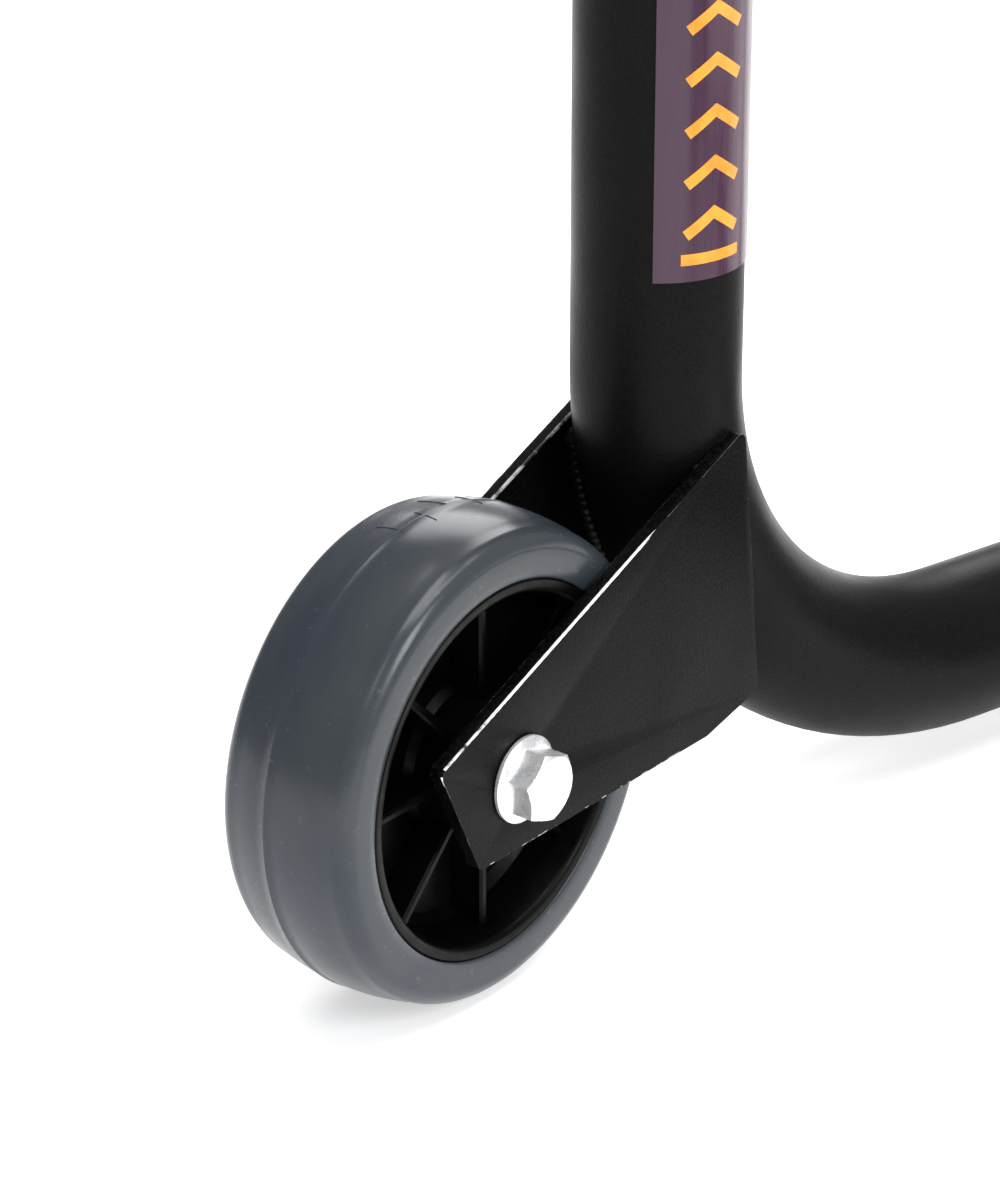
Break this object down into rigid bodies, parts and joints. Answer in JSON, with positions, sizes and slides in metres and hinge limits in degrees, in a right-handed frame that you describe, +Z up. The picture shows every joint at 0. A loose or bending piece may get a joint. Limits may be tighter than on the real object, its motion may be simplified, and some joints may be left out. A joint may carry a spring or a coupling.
{
  "type": "paddock stand",
  "caption": "Rear motorcycle stand: bent steel tube frame on wheels, with sliding arms that carry swivelling rubber rests, clamp screws and a bolted handle.",
  "frame": {"origin": "on the floor, under the middle of the bounding box", "axes": "+X from the wheels to the handle, +Y to the right-hand side frame, +Z up"},
  "size_m": [0.64, 0.52, 0.352],
  "materials": {
    "black_paint": "satin black powder coat",
    "grey_tyre": "smooth satin blue-grey rubber",
    "hub_plastic": "gloss black moulded plastic",
    "zinc_plate": "bright zinc plate",
    "label_film": "gloss printed film, deep purple with orange bars",
    "foot_rubber": "matt black moulded rubber",
    "pad_rubber": "ribbed matt black rubber",
    "grip_rubber": "ribbed matt black rubber",
    "black_plastic": "matt black moulded plastic",
    "knob_plastic": "fine-textured black plastic",
    "nylon": "natural white nylon",
    "brass_tip": "turned brass"
  },
  "bodies": {
    "frame": {"right_side_tube": "black_paint", "right_bracket_inner": "black_paint", "right_bracket_outer": "black_paint", "right_receiver": "black_paint", "right_foot": "foot_rubber", "right_label": "label_film", "right_handle_leg": "black_paint", "right_bar_cap": "black_plastic", "left_side_tube": "black_paint", "left_bracket_inner": "black_paint", "left_bracket_outer": "black_paint", "left_receiver": "black_paint", "left_foot": "foot_rubber", "left_label": "label_film", "left_handle_leg": "black_paint", "left_bar_cap": "black_plastic", "crossbar": "black_paint", "handle_bar": "black_paint", "handle_grip": "grip_rubber", "leg_bolts": "zinc_plate", "leg_nuts": "zinc_plate", "axle_bolts": "zinc_plate", "axle_sleeves": "zinc_plate", "axle_nuts": "zinc_plate", "clamp_nuts": "zinc_plate"},
    "right_wheel": {"right_tyre": "grey_tyre", "right_hub": "hub_plastic"},
    "right_arm": {"right_arm_tube": "black_paint", "right_arm_boss": "black_paint", "right_arm_plug": "black_plastic"},
    "right_rest": {"right_rest_plate": "black_paint", "right_rest_pin": "zinc_plate", "right_rest_pad": "pad_rubber", "right_rest_washer": "nylon", "right_rest_clip": "zinc_plate"},
    "right_thrust_pad": {"right_clamp_tip": "brass_tip"},
    "right_clamp_screw": {"right_clamp_stud": "zinc_plate", "right_clamp_knob": "knob_plastic"},
    "left_wheel": {"left_tyre": "grey_tyre", "left_hub": "hub_plastic"},
    "left_arm": {"left_arm_tube": "black_paint", "left_arm_boss": "black_paint", "left_arm_plug": "black_plastic"},
    "left_rest": {"left_rest_plate": "black_paint", "left_rest_pin": "zinc_plate", "left_rest_pad": "pad_rubber", "left_rest_washer": "nylon", "left_rest_clip": "zinc_plate"},
    "left_thrust_pad": {"left_clamp_tip": "brass_tip"},
    "left_clamp_screw": {"left_clamp_stud": "zinc_plate", "left_clamp_knob": "knob_plastic"}
  },
  "joints": [
    {"name": "right_wheel_spin", "type": "hinge", "parent": "frame", "child": "right_wheel", "pos_m": [-0.27, 0.215, 0.05], "axis": [0, 1, 0], "continuous": true},
    {"name": "right_arm_slide", "type": "slide", "parent": "frame", "child": "right_arm", "axis": [0, 1, 0], "range_m": [-0.035, 0.018]},
    {"name": "right_rest_swivel", "type": "hinge", "parent": "right_arm", "child": "right_rest", "pos_m": [-0.2, 0.145, 0.3], "axis": [0, 0, 1], "continuous": true},
    {"name": "right_pad_travel", "type": "slide", "parent": "frame", "child": "right_thrust_pad", "axis": [1, 0, 0], "range_m": [0, 0.003]},
    {"name": "right_knob_turn", "type": "hinge", "parent": "right_thrust_pad", "child": "right_clamp_screw", "pos_m": [-0.16, 0.215, 0.289], "axis": [1, 0, 0], "range_deg": [0, 720]},
    {"name": "left_wheel_spin", "type": "hinge", "parent": "frame", "child": "left_wheel", "pos_m": [-0.27, -0.215, 0.05], "axis": [0, 1, 0], "continuous": true},
    {"name": "left_arm_slide", "type": "slide", "parent": "frame", "child": "left_arm", "axis": [0, -1, 0], "range_m": [-0.035, 0.018]},
    {"name": "left_rest_swivel", "type": "hinge", "parent": "left_arm", "child": "left_rest", "pos_m": [-0.2, -0.145, 0.3], "axis": [0, 0, 1], "continuous": true},
    {"name": "left_pad_travel", "type": "slide", "parent": "frame", "child": "left_thrust_pad", "axis": [1, 0, 0], "range_m": [0, 0.003]},
    {"name": "left_knob_turn", "type": "hinge", "parent": "left_thrust_pad", "child": "left_clamp_screw", "pos_m": [-0.16, -0.215, 0.289], "axis": [1, 0, 0], "range_deg": [0, 720]}
  ],
  "couplings": [
    {"joint": "right_knob_turn", "follows": "right_pad_travel", "rad_per_m": 4188.8},
    {"joint": "left_knob_turn", "follows": "left_pad_travel", "rad_per_m": 4188.8}
  ]
}
